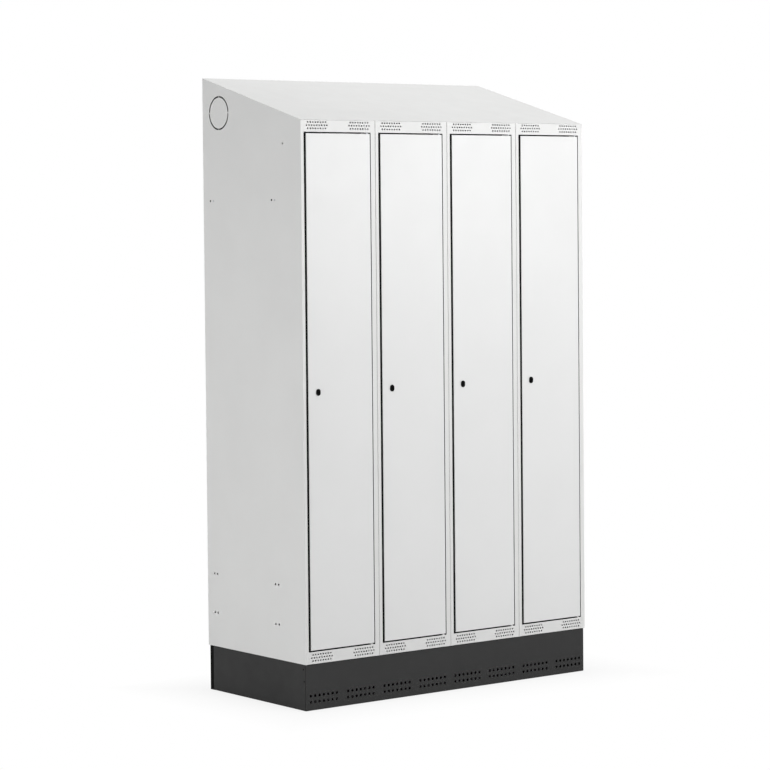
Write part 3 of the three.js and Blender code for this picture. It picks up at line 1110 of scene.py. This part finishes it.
    def hinge_shade_lining(self) -> Solid:
        """Makes the thin black lining of the rebate beside the hinge edge, whose colour is painted shade
        in the hinge gap.

        Returns:
            The closed solid, in the row frame.
        """
        wall = self.width - self.hinge_stile - self.fit
        nap, back = wall - self.shade_lining_thickness, self.hinge_rebate - self.fit
        outline = [(wall, self.fit), (nap, self.fit + self.shade_lining_thickness), (nap, back), (wall, back)]
        return self.upright(outline, self.sill_edge + self.fit, self.head_edge - self.fit)

    def shelf(self) -> Solid:
        """Makes the hat shelf: a tray upside down.

        Returns:
            The closed solid, in the row frame.
        """
        edge = self.sheet + self.fit
        return Tray(
            (edge, self.shelf_setback),
            (self.width - edge, self.depth - edge),
            self.shelf_flange,
            self.shelf_return,
            lambda a, b, deep: self.place.point(a, b, self.shelf_top - deep),
            self.sheet,
            self.body_bend,
        ).solid()

    def fixings(self) -> None:
        """Puts a blind rivet in the front hole of each pair at the shelf, and a black plug in the rear
        hole whose colour is painted shade, dark as an open hole.
        """
        face, way, side = (0.0, 1.0, "left") if self.first else (self.width, -1.0, "right")
        # The plug's black is painted shade, standing for the dark of an open hole.
        kinds = (("rivet", self.rivet, -1, Slot.ZINC), ("plug", self.plug, 1, Slot.LOCK))
        for n, y in enumerate(self.fixing_places):
            for kind, line, end, slot in kinds:
                at = (y + end * self.fixing_pitch / 2, self.fixing_levels[0])
                rings = self.place.turned(Run.ACROSS, at, [(r, face + way * deep) for r, deep in line])
                self.shop.add(Solid().loft(rings), f"shelf_{kind}_{side}_{n + 1}", slot)

    def build(self) -> None:
        """Builds and dresses the section."""
        self.put(self.body(), "section_shell", Slot.BODY, "section_body")
        rails = (("head", 1.0, "top_rail"), ("sill", -1.0, "bottom_rail"))
        for name, way, node in rails:
            self.put(self.rail(way), f"{name}_rail", Slot.BODY, node)
        stiles = (("left", self.lock_stile, 1.0), ("right", self.width - self.hinge_stile, -1.0))
        for name, way, _ in rails:
            # The black strips in the head and sill gaps are painted shade.
            self.put(self.shade_seal(way, False), f"{name}_seal", Slot.STRIP)
            self.put(self.shade_seal(way, True), f"{name}_seal_end", Slot.STRIP)
            for side, edge, hand in stiles:
                self.put(self.weld(way, edge, hand), f"{name}_weld_{side}", Slot.BODY)
        # The black lining beside the hinge edge is painted shade.
        self.put(self.hinge_shade_lining(), "hinge_shade_lining", Slot.STRIP)
        self.put(self.shelf(), "shelf_tray", Slot.BODY, "hat_shelf")
        self.shop.keep(f"floor_panel{self.tag}", Slot.BODY, edge=0.3)
        if not self.last:
            # The dark joint tape is partly painted shade in the seam.
            self.put(self.joint_shade_tape(), "joint_shade_tape", Slot.STRIP)
        if self.first or self.last:
            self.fixings()


@dataclass
class ClothesRail(Assembly):
    """The bar for hangers, its wall cups and its sliding coat hooks."""

    z: float = 1585.0
    cup: Line = ((14.0, 0.0), (14.0, 0.9), (13.5, 1.6), (12.6, 2.0))
    ferrule: Line = ((9.6, 2.0), (9.2, 2.2), (9.2, 5.6), (8.0, 6.0))
    hooks: int = 3
    sleeve: Line = ((9.0, -4.0), (9.5, -3.4), (9.5, 3.4), (9.0, 4.0))
    shank_top: float = -7.0
    hook_drop: float = 28.0
    hook_bend: float = 9.0
    hook_steps: int = 12
    tip_rise: float = 6.8
    wire: float = 3.5
    wire_sides: int = 12
    knob: Line = ((2.4, 0.6), (2.6, 1.6), (2.2, 2.6), (1.2, 3.3))

    @property
    def axis(self) -> Flat:
        """Where the bar lies, from front to back and in height."""
        return (self.depth / 2, self.z)

    @property
    def ends(self) -> Flat:
        """Where the cups meet the walls."""
        return (self.sheet + self.fit, self.width - self.sheet - self.fit)

    def bar(self) -> Solid:
        """Makes the bar and its cups, turned about the bar's axis.

        Returns:
            The closed solid, in the row frame.
        """
        left, right = self.ends
        half = (*self.cup, *self.ferrule)
        line = [(r, left + h) for r, h in half] + [(r, right - h) for r, h in reversed(half)]
        return Solid().loft(self.place.turned(Run.ACROSS, self.axis, line, 32))

    def hook(self, x: float) -> Solid:
        """Makes a hook of bent round wire that hangs from a sleeve on the bar.

        Args:
            x: Its place along the bar.

        Returns:
            The hook with its sleeve.
        """
        y, z = self.axis
        sleeve = [(r, x + h) for r, h in self.sleeve]
        made = Solid().loft(self.place.turned(Run.ACROSS, self.axis, sleeve, 28))
        half = self.wire / 2
        bend = self.hook_bend + half
        line = [(half, self.shank_top), (half, -self.hook_drop)]
        for i in range(1, self.hook_steps + 1):
            a = -math.pi * i / self.hook_steps
            line.append((half + bend * (math.cos(a) - 1), bend * math.sin(a) - self.hook_drop))
        line.append((half - 2 * bend, self.tip_rise - self.hook_drop))
        rings = []
        for n, (u, v) in enumerate(line):
            before, after = line[max(n - 1, 0)], line[min(n + 1, len(line) - 1)]
            way = Vector((after[0] - before[0], after[1] - before[1])).normalized()
            ring = []
            for c, s in circle(0.0, 0.0, half, self.wire_sides):
                ring.append(self.place.point(x + c, y + u + s * way.y, z + v - s * way.x))
            rings.append(ring)
        end = Vector(line[-1])
        knob = [(radius, z + end.y + rise) for radius, rise in self.knob]
        rings += self.place.turned(Run.UP, (x, y + end.x), knob, self.wire_sides)
        return made.loft(rings)

    def build(self) -> None:
        """Builds and dresses the rail."""
        self.put(self.bar(), "hanging_bar", Slot.ZINC, "clothes_rail")
        left, right = self.ends
        for i in range(1, self.hooks + 1):
            hook = self.hook(left + i * (right - left) / (self.hooks + 1))
            self.shop.add(hook, f"coat_hook{self.tag}_{i}", Slot.ZINC)


@dataclass
class Door(Assembly):
    """A door: its folded tray, the liner behind it, the strip along its lock edge and its hinge pins."""

    strip_room: float = 8.5
    hinge_gap: float = 2.498
    tray_depth: float = PART.door - PART.sheet - PART.fit
    lip: float = 12.0
    bend: float = 1.2
    ease: float = 0.35
    barrel_hole: float = PART.lock_barrel + PART.fit
    pin: float = 3.0
    pin_reach: float = 6.0
    pin_ease: float = 0.8
    pin_head: float = 5.0
    pin_head_height: float = 2.0
    pin_head_ease: float = 0.5
    collar: float = 4.5
    collar_ease: float = 0.3
    collar_play: float = 0.05

    @property
    def low(self) -> float:
        """The height of the door's lower edge."""
        return self.sill_edge + self.gap

    @property
    def high(self) -> float:
        """The height of the door's upper edge."""
        return self.head_edge - self.gap

    def panel(self) -> Solid:
        """Makes the door's tray, face forward.

        Returns:
            The closed solid, in the row frame.
        """
        return Tray(
            (self.lock_stile + self.strip_room, self.low + self.ease),
            (self.width - self.hinge_stile - self.hinge_gap, self.high - self.ease),
            self.tray_depth,
            self.lip,
            lambda a, b, deep: self.place.point(a, deep, b),
            self.sheet,
            self.bend,
            holes=[circle(*self.lock, self.barrel_hole)],
        ).solid()

    def hinge_pin(self, flange: float) -> Solid:
        """Makes a plain hinge pin with a broken edge at each end.

        Args:
            flange: The height of the upper face of the flange that holds it.

        Returns:
            The turned pin.
        """
        foot = flange - self.sheet - self.fit
        end = foot - self.pin_head_height
        tip = flange + self.gap + self.sheet + self.pin_reach
        line = [
            (self.pin_head - self.pin_head_ease, end),
            (self.pin_head, end + self.pin_head_ease),
            (self.pin_head, foot),
            (self.pin, foot),
            (self.pin, tip - self.pin_ease),
            (self.pin - self.pin_ease, tip),
        ]
        return Solid().loft(self.place.turned(Run.UP, self.pivot, line))

    def bush(self) -> Solid:
        """Makes the pale collar on the lower pin, which carries the door.

        Returns:
            The closed solid, in the row frame.
        """
        seat, top = self.low - self.gap + self.fit, self.low - self.fit
        bore = self.pin + self.collar_play
        ease, rim = self.collar_ease, self.collar - self.collar_ease
        line = [(bore, seat), (rim, seat), (self.collar, seat + ease)]
        line += [(self.collar, top - ease), (rim, top), (bore, top)]
        return Solid().loft(self.place.turned(Run.UP, self.pivot, line, 32), joined=True)

    def build(self) -> None:
        """Builds and dresses the door."""
        self.put(self.panel(), "door_tray", Slot.DOOR, "door_panel", "door")
        self.shop.keep(f"door_liner{self.tag}", Slot.DOOR, edge=0.25)
        self.shop.keep(f"door_edge_strip{self.tag}", Slot.STRIP, edge=0.4)
        self.put(self.hinge_pin(self.sill_edge), "pivot_pin_low", Slot.ZINC, "hinge_pin_bottom")
        self.put(self.bush(), "pivot_bush", Slot.BODY)
        self.put(self.hinge_pin(self.high), "pivot_pin_high", Slot.ZINC, "hinge_pin_top", "door")


@dataclass
class CamLock(Assembly):
    """A cam lock: an oval head and barrel on the door, and a keyed plug that turns the cam."""

    head: Triple = (16.8, 22.0, PART.lock_head)
    seat: float = -PART.fit
    barrel: float = PART.lock_barrel
    base: Line = ((0.35, 0.0), (0.0, 0.35))
    dome: Line = ((0.0, 1.3), (0.15, 0.7), (0.55, 0.22), (1.2, 0.0))
    mouth: Line = ((0.9, 0.0), (0.2, 0.35), (0.0, 0.8))
    nut: float = 11.0
    nut_span: Flat = (16.15, 19.15)
    nut_ease: Flat = (1.4, 0.5)
    bore: float = 4.7
    bore_end: float = 0.6
    plug: float = 4.5
    plug_ease: float = 0.25
    recess: float = 0.4
    slot: Flat = (6.5, 1.3)
    slot_ease: Flat = (0.15, 0.2)
    slot_depth: float = 2.5
    cam_span: Flat = (19.3, 21.3)
    cam_reach: float = 36.0
    cam_width: float = 14.0
    cam_ease: float = 0.3
    bolt: float = 5.0
    bolt_span: Flat = (21.1, 24.3)
    bolt_ease: Flat = (0.9, 0.5)
    sides: int = 48

    def _round(self, radius: float) -> list[Flat]:
        """Returns a circle about the lock's axis."""
        return circle(*self.lock, radius, self.sides)

    def _hexagon(self, radius: float) -> list[Flat]:
        """Returns a hexagon about the lock's axis."""
        return hexagon(*self.lock, radius, self.sides)

    def _oval(self, height: float, width: float, inset: float, drop: float = 0.0) -> list[Flat]:
        """Returns an upright slot shape below the lock's axis by a drop, set in by a distance."""
        x, z = self.lock
        return obround(x, z - drop, height - 2 * inset, width - 2 * inset, self.sides)

    def _loft(self, *rows: tuple[list[Flat], float], joined: bool = False) -> Solid:
        """Skins outlines in front view, each at its depth."""
        return Solid().loft(self.place.rings(Run.BACK, rows), joined)

    def housing(self) -> Solid:
        """Makes the head, barrel and nut, with the bore that the plug turns in.

        Returns:
            The closed solid, in the row frame.
        """
        width, height, proud = self.head
        near, far = self.nut_span
        rows = [
            (self._round(self.bore), far),
            (self._round(self.nut - self.nut_ease[0]), far),
            (self._hexagon(self.nut), far - self.nut_ease[1]),
            (self._hexagon(self.nut), near),
            (self._round(self.barrel), near),
            (self._round(self.barrel), self.seat),
        ]
        rows += [(self._oval(height, width, inset), self.seat - rise) for inset, rise in self.base]
        rows += [(self._oval(height, width, inset), deep - proud) for inset, deep in self.dome]
        rows += [(self._round(self.bore + more), deep - proud) for more, deep in self.mouth]
        rows.append((self._round(self.bore), far - self.bore_end))
        return self._loft(*rows, joined=True)

    def plug_face(self) -> Solid:
        """Makes the plug with its key slot.

        Returns:
            The closed solid, in the row frame.
        """
        front = self.recess - self.head[2]
        return self._loft(
            (self._round(self.plug), self.cam_span[0]),
            (self._round(self.plug), front + self.plug_ease),
            (self._round(self.plug - self.plug_ease), front),
            (self._oval(*self.slot, -self.slot_ease[0]), front),
            (self._oval(*self.slot, 0.0), front + self.slot_ease[1]),
            (self._oval(*self.slot, 0.0), front + self.slot_depth),
        )

    def cam(self) -> Solid:
        """Makes the cam, as it hangs when the door is unlocked, with its bolt.

        Returns:
            The closed solid, in the row frame.
        """
        near, far = self.cam_span
        size, ease = (self.cam_reach + self.cam_width, self.cam_width), self.cam_ease
        rows = []
        for inset, y in ((ease, near), (0.0, near + ease), (0.0, far - ease), (ease, far)):
            rows.append((self._oval(*size, inset, self.cam_reach / 2), y))
        seat, end = self.bolt_span
        bolt = (
            (self._hexagon(self.bolt), seat),
            (self._hexagon(self.bolt), end - self.bolt_ease[1]),
            (self._round(self.bolt - self.bolt_ease[0]), end),
        )
        return self._loft(*rows).loft(self.place.rings(Run.BACK, bolt))

    def build(self) -> None:
        """Builds and dresses the lock."""
        self.put(self.housing(), "lock_housing", Slot.LOCK, "lock_body", "door")
        self.put(self.plug_face(), "lock_plug", Slot.LOCK, body="lock")
        self.put(self.cam(), "lock_tongue", Slot.ZINC, "lock_cam", "lock")


@dataclass
class Plinth(Assembly):
    """The base: four folded panels, the front one pierced, screwed together at the corners."""

    width: float = PART.width
    sheet: float = 1.2
    height: float = PART.plinth - PART.fit
    bend: float = 2.0
    front: float = 5.5
    side: float = 3.0
    back: float = 5.0
    flange: float = 25.0
    hole: float = 4.7
    pitch: float = 17.4
    row_pitch: float = 20.0
    lowest: float = 27.0
    columns: int = 7
    rows: int = 2
    groups: int = 8
    screws: Line = ((17.5, 133.0), (14.0, 94.7))
    screw: Line = ((2.6, -0.6), (2.6, 0.25), (2.3, 0.6), (1.5, 0.8), (1.15, 0.8), (1.0, 0.2))
    front_gap: float = 1.5
    corner: float = 20.0
    corner_wall: float = 1.2
    corner_nose: float = 1.5
    nose_steps: int = 3
    corner_ease: float = 0.4

    def _panel(
        self,
        face: float,
        way: float,
        run: Run,
        wide: Flat,
        short: Flat,
        holes: Sequence[list[Flat]] = (),
    ) -> Solid:
        """Makes one panel with its two flanges.

        Args:
            face: Where its outer face lies.
            way: 1 or -1, the way to the inside.
            run: The way that it runs.
            wide: Where the face starts and ends.
            short: Where the flanges start and end.
            holes: The holes in its face, as height and place along the run.

        Returns:
            The folded panel.
        """
        far = face + way * self.flange
        outline = [(far, 0.0), (face, 0.0), (face, self.height), (far, self.height)]
        spans = [short, wide, short]
        made = FoldedSheet(outline, spans, run, self.sheet, self.bend, way, holes={1: list(holes)})
        return made.solid(self.place)

    def _vents(self) -> list[list[Flat]]:
        """Lists the rows of holes, in groups.

        Returns:
            The holes' points, as height and place along the run.
        """
        holes = []
        for group in range(self.groups):
            centre = (group + 0.5) * self.width / self.groups
            for row in range(self.rows):
                for i in range(self.columns):
                    x = centre + (i - (self.columns - 1) / 2) * self.pitch
                    holes.append(circle(self.lowest + row * self.row_pitch, x, self.hole))
        return holes

    def corner_post(self, face: float, way: float) -> Solid:
        """Makes a rear corner profile, flush with the panels, with a tongue behind each.

        Args:
            face: Where the end panel's outer face lies.
            way: 1 or -1, the way to the inside.

        Returns:
            The extruded profile.
        """
        seat, reach, ease = self.sheet + self.fit, self.flange - self.fit, self.corner_ease
        deep, nose = seat + self.corner_wall, self.corner_nose
        half = []
        for i in range(self.nose_steps + 1):
            a = math.pi / 4 - math.pi / 4 * i / self.nose_steps
            half.append((nose - nose * math.cos(a), nose - nose * math.sin(a)))
        half += [(0.0, self.corner - ease), (ease, self.corner), (seat, self.corner)]
        half += [(seat, reach - ease), (seat + ease, reach), (deep, reach)]
        outline = half + [(deep, deep)] + [(v, u) for u, v in reversed(half[1:])]
        placed = [(face + way * u, self.depth - self.back - v) for u, v in outline]
        return self.upright(placed, 0.0, self.height)

    def build(self) -> None:
        """Builds and dresses the plinth."""
        left, right = self.side, self.width - self.side
        rear = self.depth - self.back
        clear, inset, corner = self.sheet + self.fit, self.flange + self.fit, self.corner + self.fit
        short = (left + clear, right - clear)
        panel = self._panel(self.front, 1.0, Run.ACROSS, (left, right), short, self._vents())
        self.shop.add(panel, "plinth_grille", Slot.PLINTH, "plinth_front")
        short = (left + inset, right - inset)
        panel = self._panel(rear, -1.0, Run.ACROSS, (left + corner, right - corner), short)
        self.shop.add(panel, "plinth_rear", Slot.PLINTH, "plinth_back")
        reach = (self.front + clear + self.front_gap, rear - corner)
        short = (self.front + inset, rear - inset)
        for name, face, way in (("left", left, 1.0), ("right", right, -1.0)):
            panel = self._panel(face, way, Run.BACK, reach, short)
            self.shop.add(panel, f"plinth_end_{name}", Slot.PLINTH, f"plinth_{name}")
            post = self.corner_post(face, way)
            self.shop.add(post, f"plinth_post_{name}", Slot.STRIP, f"plinth_corner_{name}")
            line = [(radius, face - way * out) for radius, out in self.screw]
            for n, at in enumerate(self.screws):
                screw = Solid().loft(self.place.turned(Run.ACROSS, at, line))
                self.shop.add(screw, f"plinth_screw_{name}_{n + 1}", Slot.LOCK)


@dataclass(frozen=True)
class Lamp:
    """A soft rectangular lamp. One that isn't mirrored stays out of reflections, where it glares."""

    name: str
    station: Triple
    aim: Triple
    size: Flat
    watts: float
    mirrored: bool = True

    def hang(self) -> None:
        """Hangs the lamp at its station, facing its aim."""
        data = tuned(bpy.data.lights.new(self.name, "AREA"), shape="RECTANGLE", energy=self.watts)
        tuned(data, size=self.size[0], size_y=self.size[1])
        way = Vector(self.aim) - Vector(self.station)
        turn = way.to_track_quat("-Z", "Y").to_euler()
        lamp = stood(self.name, data)
        tuned(lamp, location=self.station, rotation_euler=turn, visible_glossy=self.mirrored)


@dataclass
class Studio:
    """A pale floor, a white surround, soft lamps and the camera."""

    lens: float = 126.052
    sensor: float = 36.0
    station: Triple = (-5.6688, -7.17485, 1.58086)
    heading: float = -0.64814
    height_angle: float = 0.03779
    roll: float = -0.00975
    shift: Flat = (0.05613, -0.08649)
    footprint: Flat = (0.6, 0.275)
    ambient: float = 0.12
    floor_half: float = 12.0
    floor_colour: Triple = (0.86, 0.86, 0.86)
    floor_roughness: float = 0.85
    floor_gloss: float = 0.2
    fade: Flat = (-0.03, 0.27)
    shade_end: float = 0.1
    shade_level: float = 0.84
    far: float = 100.0
    lamps: tuple[Lamp, ...] = (
        Lamp("front_softbox", (1.0, -3.2, 2.1), (0.1, -0.27, 1.6), (3.6, 1.4), 99.5),
        Lamp("overhead_softbox", (0.2, 0.3, 4.6), (0.0, 0.1, 1.5), (3.4, 2.4), 71.6),
        Lamp("left_softbox", (-4.4, -0.1, 0.9), (-0.6, 0.0, 0.8), (2.6, 2.6), 100.0, mirrored=False),
        Lamp("rear_softbox", (0.9, 3.6, 1.3), (0.1, 0.27, 1.1), (3.0, 1.4), 42.0, mirrored=False),
    )

    def camera(self) -> None:
        """Stands the camera where the photograph was taken from."""
        az, el = self.heading, self.height_angle
        back = Vector((math.sin(az) * math.cos(el), -math.cos(az) * math.cos(el), math.sin(el)))
        right = Vector((math.cos(az), math.sin(az), 0.0))
        up = back.cross(right)
        c, s = math.cos(self.roll), math.sin(self.roll)
        turn = Matrix((c * right + s * up, c * up - s * right, back)).transposed()
        data = tuned(bpy.data.cameras.new("camera"), lens=self.lens, sensor_width=self.sensor)
        tuned(data, shift_x=self.shift[0], shift_y=self.shift[1], clip_end=self.far)
        camera = stood("camera", data)
        camera.matrix_world = Matrix.Translation(Vector(self.station)) @ turn.to_4x4()
        bpy.context.scene.camera = camera

    def surround(self) -> None:
        """Makes the world white to the eye, and a soft fill light for the locker."""
        world = bpy.data.worlds.new("surround")
        nodes = Nodes(world)
        rays = nodes.add("LightPath").outputs
        seen = nodes.sum("MAXIMUM", rays["Is Camera Ray"], rays["Is Glossy Ray"])
        seen = nodes.sum("MAXIMUM", seen, rays["Is Transmission Ray"])
        light = nodes.ranged(seen, self.ambient, 1.0, 0.0, 1.0)
        nodes.feed(nodes.shader, {"Strength": light, "Color": (1.0, 1.0, 1.0, 1.0)})
        bpy.context.scene.world = world

    def floor(self) -> None:
        """Lays a pale floor that keeps the locker's shadow and fades to white further out."""
        half = self.floor_half
        mesh = bpy.data.meshes.new("studio_floor")
        corners = [(-half, -half, 0), (half, -half, 0), (half, half, 0), (-half, half, 0)]
        mesh.from_pydata(corners, [], [(0, 1, 2, 3)])
        material = bpy.data.materials.new("studio_floor")
        nodes = Nodes(material)
        paint = {"Base Color": (*self.floor_colour, 1.0), "Roughness": self.floor_roughness}
        nodes.feed(nodes.shader, {**paint, "Specular IOR Level": self.floor_gloss})
        beside = nodes.add("VectorMath", {0: nodes.place}, operation="ABSOLUTE").outputs["Vector"]
        clear = nodes.add("VectorMath", {0: beside, 1: (*self.footprint, 0.0)}, operation="SUBTRACT")
        apart = nodes.add("SeparateXYZ", {0: clear.outputs["Vector"]}).outputs
        away = nodes.sum("MAXIMUM", apart["X"], apart["Y"])
        ramp = nodes.add("ValToRGB", {"Fac": nodes.ranged(away, 0.0, 1.0, *self.fade)})
        ramp.color_ramp.elements[0].color = (0.0, 0.0, 0.0, 1.0)
        shade = self.shade_level
        ramp.color_ramp.elements.new(self.shade_end).color = (shade, shade, shade, 1.0)
        seen = nodes.add("LightPath").outputs["Is Camera Ray"]
        share = nodes.sum("MULTIPLY", seen, ramp.outputs["Color"])
        glow = nodes.add("Emission", {"Strength": 1.0}).outputs[0]
        mix = nodes.add("MixShader", {0: share, 1: nodes.shader.outputs[0], 2: glow})
        nodes.feed(nodes.tree.nodes["Material Output"], {"Surface": mix.outputs[0]})
        mesh.materials.append(material)
        floor = stood("studio_floor", mesh)

    def build(self) -> None:
        """Sets up the camera, the surround, the floor and the lamps."""
        self.camera()
        self.surround()
        self.floor()
        for lamp in self.lamps:
            lamp.hang()
        view = bpy.context.scene.view_settings
        view.view_transform = "Standard"


def main() -> None:
    """Builds the locker's visible pieces in order, and the studio round them."""
    logging.basicConfig(level=logging.INFO, format="%(message)s")
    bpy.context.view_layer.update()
    shop = Workshop({slot: coat.material() for slot, coat in COATS.items()})
    for i in range(PART.sections):
        place = SectionFrame(i)
        Section(place, shop, first=i == 0, last=i == PART.sections - 1).build()
        ClothesRail(place, shop).build()
        Door(place, shop).build()
        CamLock(place, shop).build()
    shop.keep("roof", Slot.BODY, edge=0.35)
    Plinth(SectionFrame(), shop).build()
    Studio().build()
    LOG.info("%d pieces", shop.count)


if __name__ == "__main__":
    main()
